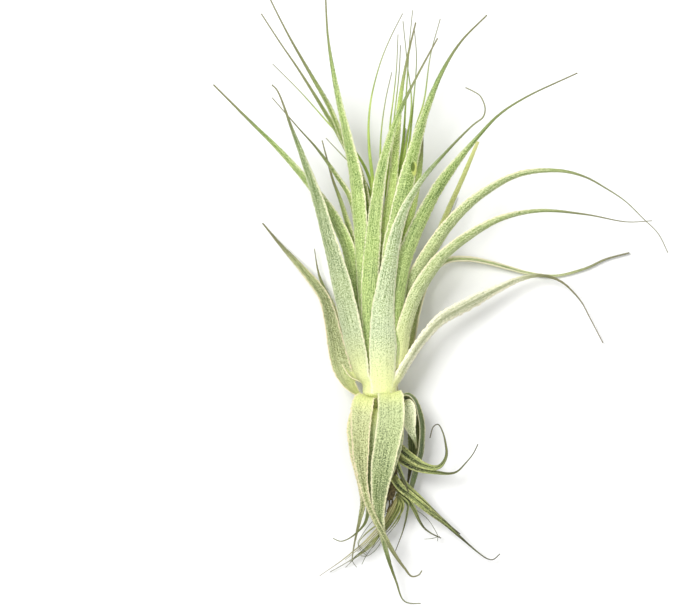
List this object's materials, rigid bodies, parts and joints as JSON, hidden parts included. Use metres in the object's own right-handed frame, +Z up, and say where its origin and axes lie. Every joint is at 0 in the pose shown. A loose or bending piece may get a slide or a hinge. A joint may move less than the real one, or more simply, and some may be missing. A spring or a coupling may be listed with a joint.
{
  "type": "air plant",
  "caption": "Whole air plant lying on its side: a rosette of channelled silvery leaves, old leaves bent back over a short stem, and thin roots.",
  "frame": {"origin": "middle of the footprint, on the surface that the plant lies on", "axes": "+Y from the roots to the tips of the rosette, +Z up from the surface, +X to the right as seen from above"},
  "size_m": [0.156, 0.2172, 0.0484],
  "materials": {
    "leaf": "matte",
    "young_leaf": "matte",
    "old_leaf": "matte",
    "withered_leaf": "matte",
    "stem": "matte"
  },
  "bodies": {
    "root": {"bent_leaf_1": "old_leaf", "bent_leaf_10": "old_leaf", "bent_leaf_2": "old_leaf", "bent_leaf_3": "old_leaf", "bent_leaf_4": "old_leaf", "bent_leaf_5": "old_leaf", "bent_leaf_6": "old_leaf", "bent_leaf_7": "old_leaf", "bent_leaf_8": "old_leaf", "bent_leaf_9": "old_leaf", "centre_left_leaf": "leaf", "curled_leaf_1": "withered_leaf", "curled_leaf_2": "withered_leaf", "curled_leaf_3": "withered_leaf", "curled_leaf_4": "withered_leaf", "curled_leaf_5": "withered_leaf", "curled_leaf_6": "withered_leaf", "curled_leaf_7": "withered_leaf", "far_left_leaf": "leaf", "front_leaf": "leaf", "front_left_leaf": "leaf", "left_inner_leaf_1": "leaf", "left_inner_leaf_2": "leaf", "left_low_leaf_1": "old_leaf", "left_low_leaf_2": "leaf", "right_arching_leaf_1": "leaf", "right_arching_leaf_2": "leaf", "right_inner_leaf_1": "young_leaf", "right_inner_leaf_2": "leaf", "right_low_leaf_1": "leaf", "right_low_leaf_2": "leaf", "right_upper_leaf": "leaf", "stem": "stem", "tall_left_leaf": "leaf", "tall_middle_leaf": "young_leaf", "tall_right_leaf": "leaf", "under_leaf_1": "leaf", "under_leaf_2": "leaf", "under_leaf_3": "leaf", "under_leaf_4": "leaf", "upper_left_leaf_1": "young_leaf", "upper_left_leaf_2": "young_leaf", "withered_spray": "withered_leaf", "young_leaves": "young_leaf"}
  },
  "joints": []
}
